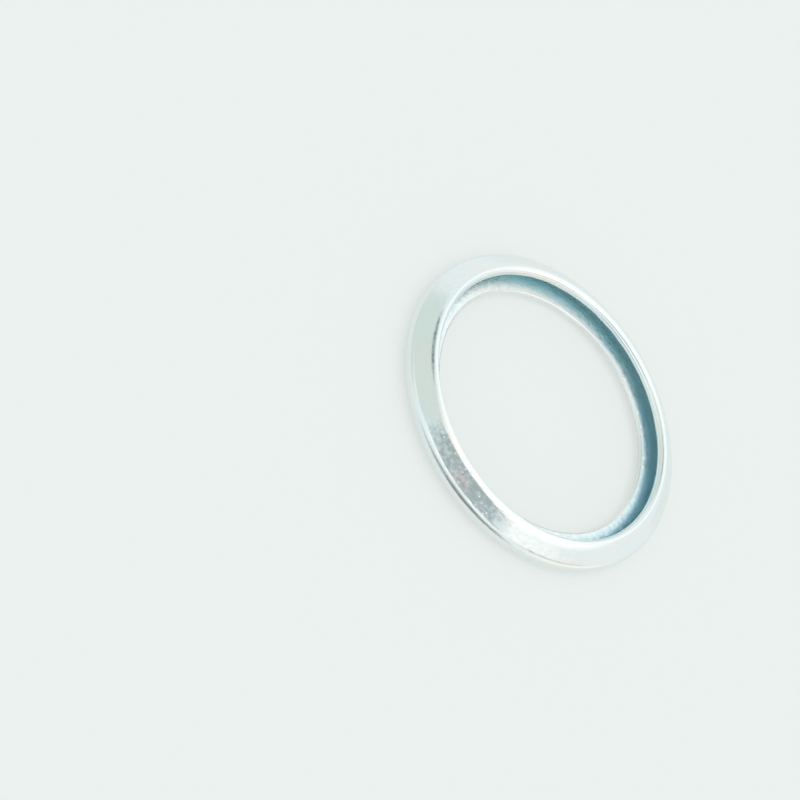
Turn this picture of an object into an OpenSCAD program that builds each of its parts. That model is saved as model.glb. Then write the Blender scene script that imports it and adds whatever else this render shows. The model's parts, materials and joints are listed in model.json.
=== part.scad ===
// Crush washer for a drain plug, nominal size 18 x 24 x 2 mm.
// One ring of thin zinc-plated steel sheet, folded and never welded. Its section is an open
// fold: a narrow seat with a raised and crowned inner lip, one round bend at the rim, a cone
// that rises inwards, a soft shoulder, and a curl along the crest. The hollow between them is
// open towards the bore, and the cone yields into it when the plug is tightened.
// Millimetres. +Z is the axis of the ring, with the crest on top. The origin lies on the axis,
// in the plane of the seat.

/* [Ring] */
// Diameter of the hole through the inner lip
bore_d = 18.2; // [17.8:0.1:18.6]
// Diameter over the rolled rim
outside_d = 24; // [23.7:0.1:25]
// Height from the seat to the top of the crest, before it is crushed
height = 2; // [1.8:0.05:2.4]
// Thickness of the sheet
sheet_t = 0.25; // [0.15:0.01:0.3]

/* [Seat and lip] */
// Width of the flat ring that sits on the plug's collar
seat_w = 0.19; // [0.1:0.01:0.4]
// Outside radius of the bend between the seat and the lip
lip_bend_r = 0.4; // [0.35:0.01:0.5]
// Angle of the lip where it is steepest, in degrees
lip_angle = 34; // [30:1:40]
// Height of the lip's underside above the seat, at the bore
lip_rise = 0.46; // [0.4:0.01:0.55]
// Angle by which the crowned lip falls again towards the bore, in degrees
lip_droop = 15; // [8:1:18]

/* [Rim] */
// Outside radius of the bend that joins the seat to the cone
rim_bend_r = 0.68; // [0.5:0.01:0.75]

/* [Crest] */
// Diameter of the circle that the top of the crest runs along
crest_d = 20.86; // [20.4:0.02:21.2]
// Outside radius of the curl
crest_curl_r = 0.38; // [0.32:0.01:0.42]
// Angle that the curl turns past its top before the sheet ends, in degrees
curl_turn = 110; // [80:1:125]
// Outside radius of the shoulder between the cone and the curl
shoulder_r = 1.7; // [0.8:0.1:2.4]
// Angle that the shoulder turns, in degrees
shoulder_turn = 14; // [4:1:20]

/* [Hidden] */
$fn = 180;
// Largest turn between two points of a bend, in degrees
arc_step = 6;

function heading(angle) = [cos(angle), sin(angle)];

bore_r = bore_d / 2;
rim_centre = [outside_d / 2 - rim_bend_r, rim_bend_r];
crest_centre = [crest_d / 2, height - crest_curl_r];

// The cone is the straight run between the rim bend and the shoulder, tangent to both. Square
// to the cone, the centres of the rim and of the curl lie cone_offset apart.
fold_span = crest_centre - rim_centre;
cone_offset = rim_bend_r - shoulder_r + (shoulder_r - crest_curl_r) * cos(shoulder_turn);
cone_normal = atan2(fold_span.y, fold_span.x) - acos(cone_offset / norm(fold_span));
shoulder_end = cone_normal + shoulder_turn;
shoulder_centre = crest_centre - (shoulder_r - crest_curl_r) * heading(shoulder_end);

// The crown of the lip fills the room that the bend at the seat leaves up to the bore
lip_bend_centre = [rim_centre.x - seat_w, lip_bend_r];
lip_room = lip_bend_centre.x - lip_bend_r * sin(lip_angle) - bore_r;
crown_rise = lip_rise - lip_bend_r * (1 - cos(lip_angle));
lip_crown_r = (lip_room * sin(lip_angle) - crown_rise * cos(lip_angle))
    / (1 - cos(lip_angle + lip_droop));
crown_centre = [bore_r, lip_rise] - lip_crown_r * heading(90 + lip_droop);

// Round stretch about a centre, as points at even steps from one heading to another
function arc(centre, r, from, to) =
    let (steps = ceil(abs(to - from) / arc_step))
    [for (i = [0 : steps]) centre + r * heading(from + (to - from) * i / steps)];

function without_first(points) = [for (i = [1 : len(points) - 1]) points[i]];

function reversed(points) = [for (i = [len(points) - 1 : -1 : 0]) points[i]];

// Heading from the centre of the crown at which an arc of radius r meets the bore
function at_bore(r) = acos((bore_r - crown_centre.x) / r);

// One face of the folded sheet from the bore to the raw edge of the curl, at a depth below the
// outside. The slope of the lip, the seat and the cone are the straight runs between the arcs.
function face(depth) = concat(
    arc(crown_centre, lip_crown_r + depth, at_bore(lip_crown_r + depth), 90 - lip_angle),
    arc(lip_bend_centre, lip_bend_r - depth, -90 - lip_angle, -90),
    arc(rim_centre, rim_bend_r - depth, -90, cone_normal),
    arc(shoulder_centre, shoulder_r - depth, cone_normal, shoulder_end),
    without_first(arc(crest_centre, crest_curl_r - depth, shoulder_end, 90 + curl_turn))
);

// Section of the folded sheet, in the plane of radius and height
module section() {
    polygon(concat(face(0), reversed(face(sheet_t))));
}

module crush_washer() {
    color("#c3c9cb") rotate_extrude() section();
}

crush_washer();
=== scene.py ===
import json

import bpy
import numpy as np
from mathutils import Matrix, Vector


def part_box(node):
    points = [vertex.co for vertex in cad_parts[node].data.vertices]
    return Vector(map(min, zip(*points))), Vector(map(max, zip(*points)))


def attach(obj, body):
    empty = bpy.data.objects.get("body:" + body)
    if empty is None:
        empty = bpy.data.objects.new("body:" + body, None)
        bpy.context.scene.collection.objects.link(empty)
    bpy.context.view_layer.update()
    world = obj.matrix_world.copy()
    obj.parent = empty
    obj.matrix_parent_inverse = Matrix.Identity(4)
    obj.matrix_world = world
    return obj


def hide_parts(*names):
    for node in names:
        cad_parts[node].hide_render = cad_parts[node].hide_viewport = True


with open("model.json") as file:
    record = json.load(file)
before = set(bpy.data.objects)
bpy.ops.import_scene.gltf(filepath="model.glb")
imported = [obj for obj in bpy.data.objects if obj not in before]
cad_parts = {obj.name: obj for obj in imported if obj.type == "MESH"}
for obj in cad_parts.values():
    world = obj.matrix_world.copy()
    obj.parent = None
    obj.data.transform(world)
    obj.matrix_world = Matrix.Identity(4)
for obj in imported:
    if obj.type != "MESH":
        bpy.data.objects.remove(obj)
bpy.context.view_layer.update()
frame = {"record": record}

# Crush washer
# One ring of thin steel sheet, pressed into an open fold: a narrow seat with a crowned inner lip, a bend at
# the rim, a cone that rises inwards, a soft shoulder and a curl along the crest. It is pierced and folded
# in a press, then zinc-plated, and nothing is fixed to it. Sizes in millimetres, angles in degrees.
MM = 0.001
mounts = {mount["name"]: mount for mount in frame["record"]["mounts"]}
ring_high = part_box("crush_washer")[1]
outside_r = ring_high.y / MM
ring_height = ring_high.z / MM
bore_r = mounts["bore"]["dims"]["r_mm"]
crest_r = mounts["crest"]["pos_m"][0] / MM
# What the frame doesn't give is as in the part's source, apart from the worn edges
sheet_t = 0.25
seat_w = 0.19
lip_bend_r = 0.4
lip_angle = 34
lip_rise = 0.46
lip_droop = 15
rim_bend_r = 0.68
crest_curl_r = 0.38
curl_turn = 110
shoulder_r = 1.7
shoulder_turn = 14
raw_edge_r = 0.04
# Steps round the ring, and points along each stretch of the section
around_ring = 600
crown_steps, bend_steps, rim_steps, shoulder_steps, curl_steps = 10, 5, 13, 4, 11
flat_steps, cone_steps, corner_steps, drawn_edge_steps = 2, 7, 5, 8


def heading(angle):
    """Unit vectors in the plane of radius and height: cosine and sine of an angle in degrees."""
    return np.stack([np.cos(np.radians(angle)), np.sin(np.radians(angle))], axis=-1)


# The cone is the straight run tangent to the rim bend and to the shoulder
rim_centre = np.array([outside_r - rim_bend_r, rim_bend_r])
crest_centre = np.array([crest_r, ring_height - crest_curl_r])
fold_span = crest_centre - rim_centre
cone_offset = rim_bend_r - shoulder_r + (shoulder_r - crest_curl_r) * np.cos(np.radians(shoulder_turn))
cone_turn = np.arctan2(fold_span[1], fold_span[0]) - np.arccos(cone_offset / np.hypot(*fold_span))
cone_normal = np.degrees(cone_turn)
shoulder_end = cone_normal + shoulder_turn
shoulder_centre = crest_centre - (shoulder_r - crest_curl_r) * heading(shoulder_end)

# The crown of the lip fills the room that the bend at the seat leaves up to the bore
lip_bend_centre = np.array([rim_centre[0] - seat_w, lip_bend_r])
lip_cos, lip_sin = heading(lip_angle)
lip_room = lip_bend_centre[0] - lip_bend_r * lip_sin - bore_r
crown_rise = lip_rise - lip_bend_r * (1 - lip_cos)
crown_turn = np.radians(lip_angle + lip_droop)
lip_crown_r = (lip_room * lip_sin - crown_rise * lip_cos) / (1 - np.cos(crown_turn))
crown_centre = np.array([bore_r, lip_rise]) - lip_crown_r * heading(90 + lip_droop)


def arc(centre, r, start, end, steps):
    """Round stretch: a centre plus r times the headings from start to end, at even steps."""
    return centre + r * heading(np.linspace(start, end, steps))


def run(start, end, steps):
    """Straight stretch: even shares of the way from start to end, without its two ends."""
    share = np.linspace(0, 1, steps + 2)[1:-1, None]
    return start + share * (end - start)


def face(depth):
    """One face of the sheet at a depth below its outside, from the bore to the raw edge of the curl.
    The bends are arcs about fixed centres, each smaller by the depth, with straight runs between them.
    The outside shows more, so it has more steps."""
    fine = 2 if depth == 0 else 1
    crown_r = lip_crown_r + depth
    droop = np.degrees(np.arcsin((crown_centre[0] - bore_r) / crown_r))
    crown = arc(crown_centre, crown_r, 90 + droop, 90 - lip_angle, crown_steps)
    lip_bend = arc(lip_bend_centre, lip_bend_r - depth, -90 - lip_angle, -90, bend_steps)
    rim_bend = arc(rim_centre, rim_bend_r - depth, -90, cone_normal, rim_steps * fine)
    shoulder = arc(shoulder_centre, shoulder_r - depth, cone_normal, shoulder_end, shoulder_steps * fine)
    curl = arc(crest_centre, crest_curl_r - depth, shoulder_end, 90 + curl_turn, curl_steps * fine)
    slope = run(crown[-1], lip_bend[0], flat_steps)
    seat = run(lip_bend[-1], rim_bend[0], flat_steps)
    cone = run(rim_bend[-1], shoulder[0], cone_steps * fine)
    return np.concatenate([crown, slope, lip_bend, seat, rim_bend, cone, shoulder, curl[1:]])


def worn_corner(before, corner, after, reach_before, reach_after, steps=corner_steps):
    """Corner of a raw edge: a quadratic curve between two points at a reach from it on both sides."""
    start = corner + reach_before * (before - corner) / np.hypot(*(before - corner))
    end = corner + reach_after * (after - corner) / np.hypot(*(after - corner))
    t = np.linspace(0, 1, steps)[:, None]
    return (1 - t) ** 2 * start + 2 * t * (1 - t) * corner + t ** 2 * end


# The punch that pierced the bore drew the upper edge of the lip down, over die_roll_w and die_roll_h
die_roll_w, die_roll_h = 0.18, 0.22
outside, inside = face(0), face(sheet_t)[::-1]
kept_inside = inside[1:-2]
drawn_edge = worn_corner(inside[-2], inside[-1], outside[0], die_roll_w, die_roll_h, drawn_edge_steps)
section = np.concatenate([
    worn_corner(inside[-1], outside[0], outside[1], raw_edge_r, raw_edge_r),
    outside[1:-1],
    worn_corner(outside[-2], outside[-1], inside[0], raw_edge_r, raw_edge_r),
    worn_corner(outside[-1], inside[0], inside[1], raw_edge_r, raw_edge_r),
    kept_inside,
    drawn_edge,
])
steps_along = np.hypot(*np.diff(section, axis=0).T)
across_strip = np.concatenate([[0], np.cumsum(steps_along)])
last_inside = len(section) - len(drawn_edge)
first_inside = last_inside - len(kept_inside)
is_inside = (np.arange(len(section)) >= first_inside) & (np.arange(len(section)) <= last_inside)
# How far each point of the section lies towards the raw edge of the curl, towards the bore, or into the
# fold, of which the lip is lip_share and the way from the lip to the rim is the rest
fold_middle = 1.0
lip_share, lip_gain = 0.6, 1.5
above_middle = section[:, 1] > fold_middle
below_middle = section[:, 1] < fold_middle
from_crest = np.clip((crest_centre[0] - section[:, 0]) / crest_curl_r, 0, 1)
below_crest = np.clip((crest_centre[1] + crest_curl_r - section[:, 1]) / crest_curl_r, 0, 1)
to_curl_edge = np.where(above_middle, from_crest * below_crest, 0)
to_bore = np.where(below_middle, np.clip((lip_bend_centre[0] - section[:, 0]) / lip_room, 0, 1), 0)
up_lip = np.clip(lip_gain - lip_gain * to_bore, 0, lip_share)
past_lip = np.clip((section[:, 0] - bore_r - lip_room) / rim_bend_r, 0, 1)
into_fold = np.where(above_middle, 1, up_lip + (1 - lip_share) * past_lip)


def bump(turn, azimuth, reach):
    """Bump round the ring: 1 at an azimuth, and e to minus the square of the way from it over a reach."""
    away = (np.degrees(turn) - azimuth + 180) % 360 - 180
    return np.exp(-(away / reach) ** 2)


def slow_wave(turn, first, last, seed):
    """Uneven wave round the ring: sines of whole numbers of waves, from first to last, at seeded phases,
    each divided by its number of waves. It closes on itself and stays within -1 to 1."""
    count = np.arange(first, last + 1)
    phase = np.random.default_rng(seed).uniform(0, 2 * np.pi, len(count))
    wave = (np.sin(turn[:, None] * count + phase) / count).sum(axis=1)
    return wave / np.abs(wave).max()


def ring_mesh(name, profile, around, lift):
    """Closed ring: a closed profile of radius and height is carried once round the Z axis, so a point is
    radius times cosine, radius times sine, height plus a lift for that turn and that profile point.
    Each face joins two points of the profile at two steps of the turn, and both directions close."""
    turn = np.linspace(0, 2 * np.pi, around, endpoint=False)
    r, z = profile[None, :, 0], profile[None, :, 1] + lift(turn)
    x = r * np.cos(turn)[:, None]
    y = r * np.sin(turn)[:, None]
    points = np.stack(np.broadcast_arrays(x, y, z), axis=-1)
    count = len(profile)
    here = np.arange(around)[:, None] * count
    there = (np.arange(around)[:, None] + 1) % around * count
    low = np.arange(count)[None, :]
    high = (low + 1) % count
    quads = np.stack(np.broadcast_arrays(here + low, there + low, there + high, here + high), axis=-1)
    mesh = bpy.data.meshes.new(name)
    mesh.from_pydata(points.reshape(-1, 3) * MM, [], quads.reshape(-1, 4))
    mesh.polygons.foreach_set("use_smooth", np.ones(len(mesh.polygons), dtype=bool))
    mesh.update()
    return mesh


# The press leaves the raw edge of the curl a little wavy, and the lip a little out of true: each bend of
# the lip has its height at the bore, its azimuth and its reach
curl_edge_wave = 0.025
fewest_waves, most_waves, wave_seed = 9, 40, 3
lip_bends = [(0.05, 92, 7), (-0.13, 133, 36), (0.03, 40, 30)]


def press_lift(turn):
    """Height added round the ring: a wave that grows towards the edge of the curl, and bends that grow
    towards the bore."""
    wave = slow_wave(turn, fewest_waves, most_waves, wave_seed)
    curl_part = curl_edge_wave * wave[:, None] * to_curl_edge
    lip_part = sum(height * bump(turn, azimuth, reach) for height, azimuth, reach in lip_bends)
    return curl_part + lip_part[:, None] * to_bore


washer = bpy.data.objects.new("folded_ring", ring_mesh("folded_ring", section, around_ring, press_lift))
bpy.context.scene.collection.objects.link(washer)
# Place on the flat strip, in millimetres: a circle of mean radius for the way round, and the way across
mean_r = (outside_r + bore_r) / 2
strip_turn = np.linspace(0, 2 * np.pi, around_ring, endpoint=False)[:, None]
strip_x = mean_r * np.cos(strip_turn)
strip_y = mean_r * np.sin(strip_turn)
strip = np.stack(np.broadcast_arrays(strip_x, strip_y, across_strip), axis=-1)
washer.data.attributes.new("strip", "FLOAT_VECTOR", "POINT").data.foreach_set("vector", strip.ravel())
# The die scuffed one stretch of the cone, a stain lies half-way up the cone, and part of the lip is dull
scuff_azimuth, scuff_reach = -64, 17
scuffed = bump(strip_turn, scuff_azimuth, scuff_reach) * ~is_inside
stain_azimuth, stain_reach, stain_w = -86, 4, 0.4
cone_middle = (rim_centre + shoulder_centre + (rim_bend_r + shoulder_r) * heading(cone_normal)) / 2
up_cone = np.hypot(*(section - cone_middle).T) / stain_w
stained = bump(strip_turn, stain_azimuth, stain_reach) * np.exp(-up_cone ** 2) * ~is_inside
dull_azimuth, dull_reach = 140, 40
dulled = bump(strip_turn, dull_azimuth, dull_reach) * (is_inside & below_middle)
# The film in the fold is bluer on three stretches, each with its share, azimuth and reach. On one stretch
# the fold's colour is painted lighter, as painted light against its shade, and it is less rough there.
# The blue is weaker at the bore, whole on the slope of the lip, and gone deep in the fold.
blue_stretches = [(0.8, 20, 30), (0.5, 60, 20), (0.45, 96, 6)]
blue_at_bore = 0.3
painted_light_share, painted_light_azimuth, painted_light_reach = 0.8, 172, 25
blued = sum(share * bump(strip_turn, azimuth, reach) for share, azimuth, reach in blue_stretches)
blued = blued * np.clip(blue_at_bore + 2 * into_fold, 0, 1) * np.clip(3 - 4 * into_fold, 0, 1)
# Painted light: on that stretch the fold counts as nearer the lip, so its colour is lighter
into_fold = into_fold * (1 - painted_light_share * bump(strip_turn, painted_light_azimuth, painted_light_reach))
for name, share in (
        ("inside", is_inside),
        ("into_fold", into_fold),
        ("scuffed", scuffed),
        ("stained", stained),
        ("dulled", dulled),
        ("blued", blued)):
    values = np.broadcast_to(share, (around_ring, len(section))).astype(np.float32)
    washer.data.attributes.new(name, "FLOAT", "POINT").data.foreach_set("value", values.ravel())


def linear(colour):
    """sRGB hex colour as linear red, green, blue and 1 for alpha."""
    share = np.array([int(colour[i:i + 2], 16) for i in (1, 3, 5)]) / 255
    light = np.where(share <= 0.04045, share / 12.92, ((share + 0.055) / 1.055) ** 2.4)
    return (*light.tolist(), 1.0)


def add_node(tree, kind, inputs=(), **settings):
    """A new node with its settings; each input is a value for a socket, or a socket to link to it."""
    node = tree.nodes.new(kind)
    for name, value in settings.items():
        setattr(node, name, value)
    for socket, value in dict(inputs).items():
        if isinstance(value, bpy.types.NodeSocket):
            tree.links.new(value, node.inputs[socket])
        else:
            node.inputs[socket].default_value = value
    return node


# Deeper into the fold its colour is painted darker and greyer, as painted shade, and on one stretch it is
# painted lighter, as painted light.
# Bright blue-white zinc plating on cold-rolled steel. It gives a slightly clouded mirror, with lines round
# the ring from the drawing die, scuffs and a faint pink stain on the cone, a mottle where the sheet was
# stretched, a few pits, and a film that tints it blue to pink. The inside of the fold is duller and
# bluer, streaked across the strip, mottled and slightly dented, and dullest along one stretch of the lip.
# The lines and the streaks are really about 0.02 mm wide and are drawn coarser, so that they show.
die_line_w, die_line_len, die_line_depth = 0.12, 5.0, 0.002
scuff_w, scuff_len, scuff_depth = 0.09, 0.7, 0.012
mottle_w, mottle_depth, fold_mottle_depth, dull_mottle_depth = 0.3, 0.004, 0.022, 0.03
pit_spacing, pit_w, pit_depth = 0.3, 0.13, 0.012
streak_w, streak_len, streak_depth = 0.1, 1.8, 0.004
dent_len, dent_w, dent_depth = 2.2, 0.8, 0.02
film_w = 4.0
no_pit_share = 0.5
mirror_rough, cloud_rough, stain_rough = 0.05, 0.26, 0.1
lip_rough, fold_rough, dull_rough, speckle_rough = 0.36, 0.62, 0.25, 0.15
zinc = bpy.data.materials.new("zinc_plated_steel")
zinc.use_nodes = True
tree = zinc.node_tree
shader = tree.nodes["Principled BSDF"]
shader.inputs["Metallic"].default_value = 1.0
marks = {}
for name in ("inside", "into_fold", "scuffed", "stained", "dulled", "blued"):
    marks[name] = add_node(tree, "ShaderNodeAttribute", attribute_name=name).outputs["Fac"]
inner = marks["inside"]
outer = add_node(tree, "ShaderNodeMath", {0: 1.0, 1: inner}, operation="SUBTRACT").outputs[0]
place = add_node(tree, "ShaderNodeAttribute", attribute_name="strip").outputs["Vector"]
patterns = {}
for name, around_size, across_size, detail in (
        ("die_lines", die_line_len, die_line_w, 2.0),
        ("scuffs", scuff_len, scuff_w, 2.0),
        ("mottle", mottle_w, mottle_w, 4.0),
        ("streaks", streak_w, streak_len, 2.0),
        ("dents", dent_len, dent_w, 1.0),
        ("film", film_w, film_w / 3, 2.0)):
    scaled = add_node(tree, "ShaderNodeMapping", {
        "Vector": place,
        "Scale": (1 / around_size, 1 / around_size, 1 / across_size),
    })
    patterns[name] = add_node(tree, "ShaderNodeTexNoise", {
        "Vector": scaled.outputs[0],
        "Scale": 1.0,
        "Detail": detail,
    }, label=name).outputs["Fac"]
pit_cells = add_node(tree, "ShaderNodeTexVoronoi", {"Vector": place, "Scale": 1 / pit_spacing})
pit_hole = add_node(tree, "ShaderNodeMapRange", {
    "Value": pit_cells.outputs["Distance"],
    "From Min": pit_w / 2 / pit_spacing,
    "From Max": 0.0,
}, interpolation_type="SMOOTHSTEP").outputs["Result"]
pit_chance = add_node(tree, "ShaderNodeMath", {
    0: pit_cells.outputs["Color"],
    1: no_pit_share,
}, operation="GREATER_THAN")
pits = add_node(tree, "ShaderNodeMath", {
    0: pit_hole,
    1: pit_chance.outputs[0],
}, operation="MULTIPLY").outputs[0]
level = None
for pattern, depth, where in (
        (patterns["die_lines"], die_line_depth, outer),
        (patterns["scuffs"], scuff_depth, marks["scuffed"]),
        (patterns["mottle"], mottle_depth, outer),
        (patterns["mottle"], fold_mottle_depth, inner),
        (patterns["mottle"], dull_mottle_depth, marks["dulled"]),
        (pits, -pit_depth, outer),
        (patterns["streaks"], streak_depth, inner),
        (patterns["dents"], dent_depth, inner)):
    part = add_node(tree, "ShaderNodeMath", {0: pattern, 1: depth}, operation="MULTIPLY").outputs[0]
    part = add_node(tree, "ShaderNodeMath", {0: part, 1: where}, operation="MULTIPLY").outputs[0]
    if level is not None:
        part = add_node(tree, "ShaderNodeMath", {0: level, 1: part}).outputs[0]
    level = part
relief = add_node(tree, "ShaderNodeBump", {"Height": level, "Distance": MM})
tree.links.new(relief.outputs["Normal"], shader.inputs["Normal"])
colours = {}
for name, pattern, low, high in (
        ("film", patterns["film"], "#e7f3f5", "#f6f1eb"),
        ("streaking", patterns["streaks"], "#f0f0f0", "#ffffff")):
    colours[name] = add_node(tree, "ShaderNodeMix", {
        "Factor": pattern,
        "A": linear(low),
        "B": linear(high),
    }, data_type="RGBA", label=name).outputs["Result"]
# Colour of the fold: near white at the lip, a teal tint half-way in, and greyer and darker deep in the
# fold, which is painted shade
fold_tint_and_shade = add_node(tree, "ShaderNodeValToRGB", {"Fac": marks["into_fold"]})
fold_tint_and_shade.color_ramp.elements[0].color = linear("#f8f9f7")
fold_tint_and_shade.color_ramp.elements[1].color = linear("#d9ebee")
fold_tint_and_shade.color_ramp.elements.new(0.5).color = linear("#dffcff")
blue_film = add_node(tree, "ShaderNodeMix", {
    "Factor": marks["blued"],
    "A": fold_tint_and_shade.outputs["Color"],
    "B": linear("#c8efff"),
}, data_type="RGBA")
inside_colour = add_node(tree, "ShaderNodeMix", {
    "Factor": 1.0,
    "A": blue_film.outputs["Result"],
    "B": colours["streaking"],
}, data_type="RGBA", blend_type="MULTIPLY")
outside_colour = add_node(tree, "ShaderNodeMix", {
    "Factor": marks["stained"],
    "A": colours["film"],
    "B": linear("#ece0dd"),
}, data_type="RGBA")
colour = add_node(tree, "ShaderNodeMix", {
    "Factor": inner,
    "A": outside_colour.outputs["Result"],
    "B": inside_colour.outputs["Result"],
}, data_type="RGBA")
tree.links.new(colour.outputs["Result"], shader.inputs["Base Color"])
clouding = add_node(tree, "ShaderNodeMapRange", {
    "Value": patterns["mottle"],
    "From Min": 0.3,
    "From Max": 0.7,
    "To Min": mirror_rough,
    "To Max": cloud_rough,
})
stain_clouding = add_node(tree, "ShaderNodeMath", {
    0: marks["stained"],
    1: stain_rough,
    2: clouding.outputs["Result"],
}, operation="MULTIPLY_ADD")
fold_clouding = add_node(tree, "ShaderNodeMapRange", {
    "Value": marks["into_fold"],
    "From Min": 0.0,
    "From Max": 0.5,
    "To Min": lip_rough,
    "To Max": fold_rough,
})
dull_clouding = add_node(tree, "ShaderNodeMath", {
    0: marks["dulled"],
    1: dull_rough,
    2: fold_clouding.outputs["Result"],
}, operation="MULTIPLY_ADD")
fold_speckle = add_node(tree, "ShaderNodeMapRange", {
    "Value": patterns["mottle"],
    "From Min": 0.35,
    "From Max": 0.65,
    "To Min": -speckle_rough,
    "To Max": speckle_rough,
})
speckled = add_node(tree, "ShaderNodeMath", {
    0: dull_clouding.outputs[0],
    1: fold_speckle.outputs["Result"],
})
rough = add_node(tree, "ShaderNodeMix", {
    "Factor": inner,
    "A": stain_clouding.outputs[0],
    "B": speckled.outputs[0],
})
tree.links.new(rough.outputs["Result"], shader.inputs["Roughness"])
washer.data.materials.append(zinc)
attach(washer, "root")
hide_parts("crush_washer")

# Floor
# A plain pale sheet that the washer lies on, matt and seamless. More than half of its light is its own, as
# of paper lit from below, so that the washer's shadow on it stays faint. The share is another in what the
# metal mirrors.
floor_half = 1.0
own_light = 0.6
mirrored_light = 0.7
floor_mesh = bpy.data.meshes.new("floor")
unit_square = np.array([[-1.0, -1.0, 0.0], [1.0, -1.0, 0.0], [1.0, 1.0, 0.0], [-1.0, 1.0, 0.0]])
floor_mesh.from_pydata(unit_square * floor_half, [], [[0, 1, 2, 3]])
floor = bpy.data.objects.new("floor", floor_mesh)
bpy.context.scene.collection.objects.link(floor)
paper = bpy.data.materials.new("matt_white_paper")
paper.use_nodes = True
paper_tree = paper.node_tree
paper_shader = paper_tree.nodes["Principled BSDF"]
paper_shader.inputs["Base Color"].default_value = linear("#eef1f0")
paper_shader.inputs["Roughness"].default_value = 0.9
paper_shader.inputs["Specular IOR Level"].default_value = 0.0
path = add_node(paper_tree, "ShaderNodeLightPath")
mirrored = add_node(paper_tree, "ShaderNodeMath", {
    0: path.outputs["Is Glossy Ray"],
    1: path.outputs["Is Transmission Ray"],
}, operation="MAXIMUM")
in_picture = add_node(paper_tree, "ShaderNodeMath", {
    0: path.outputs["Is Camera Ray"],
    1: own_light,
}, operation="MULTIPLY")
in_metal = add_node(paper_tree, "ShaderNodeMath", {
    0: mirrored.outputs[0],
    1: mirrored_light,
}, operation="MULTIPLY")
own_share = add_node(paper_tree, "ShaderNodeMath", {0: in_picture.outputs[0], 1: in_metal.outputs[0]})
glow_colour = add_node(paper_tree, "ShaderNodeMix", {
    "Factor": mirrored.outputs[0],
    "A": linear("#edf2ee"),
    "B": linear("#edf4f3"),
}, data_type="RGBA")
glow = add_node(paper_tree, "ShaderNodeEmission", {"Color": glow_colour.outputs["Result"]})
lit = add_node(paper_tree, "ShaderNodeMixShader", {
    0: own_share.outputs[0],
    1: paper_shader.outputs[0],
    2: glow.outputs[0],
})
paper_tree.links.new(lit.outputs[0], paper_tree.nodes["Material Output"].inputs["Surface"])
floor_mesh.materials.append(paper)

# Studio light
# A white tent lit from all round, with a bright panel overhead and dimmer cloth on the left, which the
# bright metal mirrors. A direction is given by its azimuth about Z and its angle from straight up.
world = bpy.data.worlds.new("white_tent")
bpy.context.scene.world = world
world.use_nodes = True
tent = world.node_tree
direction = add_node(tent, "ShaderNodeTexCoord").outputs["Generated"]
tent_cloth = "#f3fafb"
# Each patch: name, azimuth, angle from the top, half width, half height, twist, softness, colour and
# strength
patches = [
    ("far_wall", 90, 64, 14, 30, 0, 0.35, "#f7fdff", 1.15),
    ("right_wall", 5, 82, 25, 16, 0, 0.4, "#fffdf6", 1.05),
    ("dim_left", -176, 72, 34, 16, 0, 0.4, "#dae6e2", 1.0),
    ("bright_under_lens", -95, 68, 22, 14, 0, 0.4, "#f7fdff", 1.15),
    ("overhead_panel", 30, 22, 31, 31, 0, 0.25, "#fdfefd", 1.2),
    ("left_wall", 175.8, 39.8, 34, 17, 39.6, 0.08, "#dbe8e4", 1.0),
    ("tan_edge", 1.5, 55.6, 19, 2.5, -30, 0.4, "#b5a997", 1.0),
    ("bright_behind_lens", -104.5, 33, 17, 5, 5, 0.4, "#f7fdff", 1.3),
    ("bright_by_lens", -49.5, 37, 18, 5, -16.5, 0.4, "#f7fdff", 1.3),
    ("dark_slot", 155, 36, 13, 6, 50, 0.3, "#899b9b", 1.0),
]
shade = linear(tent_cloth)
for name, azimuth, from_top, width, height, twist, soft, tone, strength in patches:
    flat = np.sin(np.radians(from_top))
    ahead = Vector((*heading(azimuth) * flat, np.cos(np.radians(from_top))))
    across = Vector((0, 0, 1)).cross(ahead).normalized()
    across.rotate(Matrix.Rotation(np.radians(twist), 3, ahead))
    turn = Matrix((across, ahead.cross(across), ahead)).transposed().to_euler()
    local = add_node(tent, "ShaderNodeMapping", {
        "Vector": direction,
        "Location": ahead,
        "Rotation": turn,
        "Scale": (np.sin(np.radians(width)), np.sin(np.radians(height)), 1.0),
    }, vector_type="TEXTURE")
    reach = add_node(tent, "ShaderNodeVectorMath", {0: local.outputs["Vector"]}, operation="LENGTH")
    share = add_node(tent, "ShaderNodeMapRange", {
        "Value": reach.outputs["Value"],
        "From Min": 1 + soft,
        "From Max": 1 - soft,
    }, interpolation_type="SMOOTHSTEP")
    light = np.array(linear(tone)[:3]) * strength
    mix = add_node(tent, "ShaderNodeMix", {
        "Factor": share.outputs["Result"],
        "A": shade,
        "B": (*light, 1.0),
    }, data_type="RGBA", label=name)
    shade = mix.outputs["Result"]
tent.links.new(shade, tent.nodes["Background"].inputs["Color"])

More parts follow.
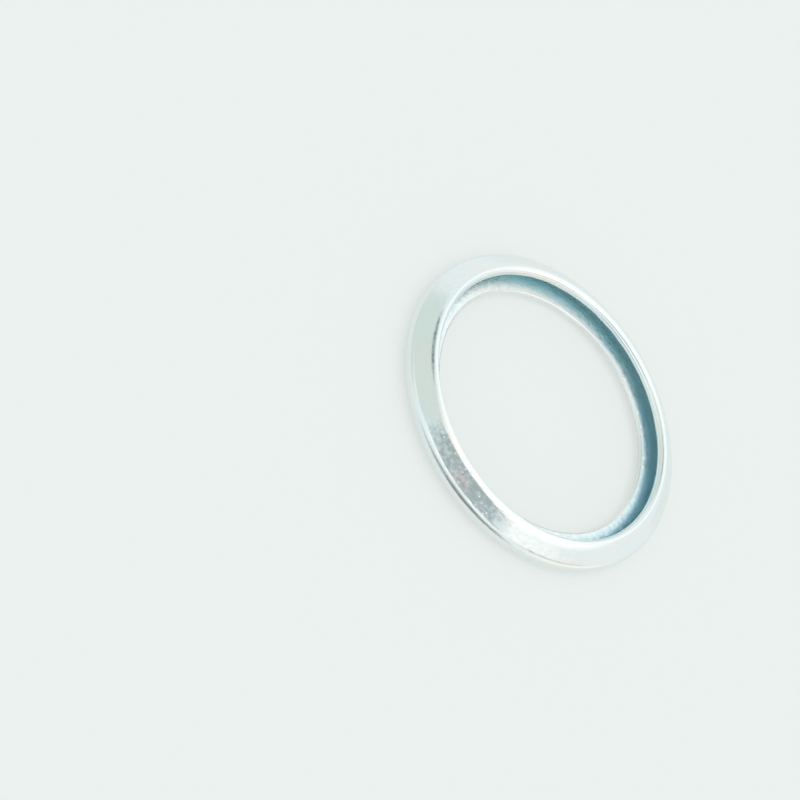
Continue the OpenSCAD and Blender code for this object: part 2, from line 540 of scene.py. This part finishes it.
# Grey screens
# Two thin grey cloths with faded edges, one above the lens and one in front of the ring. Only mirrors show
# them: the near cone, the near rim and the curl get their dark bands from them.
# Each screen: name, middle, half width, half height, softness and colour
screens = [
    ("screen_above_lens", (17, -41, 80), (51, 0, 0), (0, 17, 0), 0.1, "#a8b7ba"),
    ("screen_in_front", (7, -21, 2.5), (22, 0, 0), (0, 0, 7), 0.4, "#8a9898"),
]
for name, middle, half_width, half_height, soft, tone in screens:
    screen_mesh = bpy.data.meshes.new(name)
    screen_mesh.from_pydata(unit_square, [], [[0, 1, 2, 3]])
    screen = bpy.data.objects.new(name, screen_mesh)
    bpy.context.scene.collection.objects.link(screen)
    square = np.cross(half_width, half_height)
    sides = [half_width, half_height, square / np.linalg.norm(square), middle]
    placed = np.eye(4)
    placed[:3] = np.transpose(sides) * MM
    screen.matrix_world = Matrix(placed.tolist())
    grey = bpy.data.materials.new("grey_cloth")
    grey.use_nodes = True
    screen_tree = grey.node_tree
    screen_tree.nodes.remove(screen_tree.nodes["Principled BSDF"])
    reach = add_node(screen_tree, "ShaderNodeVectorMath", {
        0: add_node(screen_tree, "ShaderNodeTexCoord").outputs["Object"],
    }, operation="LENGTH")
    share = add_node(screen_tree, "ShaderNodeMapRange", {
        "Value": reach.outputs["Value"],
        "From Min": 1.0,
        "From Max": 1 - 2 * soft,
    }, interpolation_type="SMOOTHSTEP")
    faded = add_node(screen_tree, "ShaderNodeMixShader", {
        0: share.outputs["Result"],
        1: add_node(screen_tree, "ShaderNodeBsdfTransparent").outputs[0],
        2: add_node(screen_tree, "ShaderNodeEmission", {"Color": linear(tone)}).outputs[0],
    })
    screen_tree.links.new(faded.outputs[0], screen_tree.nodes["Material Output"].inputs["Surface"])
    screen_mesh.materials.append(grey)
    screen.visible_camera = False
    screen.visible_diffuse = False
    screen.visible_shadow = False

# Camera
# It looks down on the ring from the front and is rolled, so that the ring leans as in the photograph.
camera_data = bpy.data.cameras.new("camera")
camera = bpy.data.objects.new("camera", camera_data)
bpy.context.scene.collection.objects.link(camera)
camera_data.sensor_width = 36
camera_data.lens = 112.5
camera_data.clip_start = 0.005
# The ring's axis and the middle of its seat as the camera sees them: to the right, up, and towards it
axis_in_view = np.array([0.6003, 0.3726, 0.7077])
axis_in_view /= np.linalg.norm(axis_in_view)
side_in_view = np.array([axis_in_view[1], -axis_in_view[0], 0])
side_in_view /= np.linalg.norm(side_in_view)
turned = np.stack([side_in_view, np.cross(axis_in_view, side_in_view), axis_in_view])
seat_in_view = np.array([9.639, -0.979, -176.51]) * MM
pose = np.eye(4)
pose[:3, :3] = turned
pose[:3, 3] = -turned @ seat_in_view
camera.matrix_world = Matrix(pose.tolist())
bpy.context.scene.camera = camera
bpy.context.scene.view_settings.view_transform = "Standard"
# Light is thrown to and fro between the faces of the fold
bpy.context.scene.cycles.glossy_bounces = 12
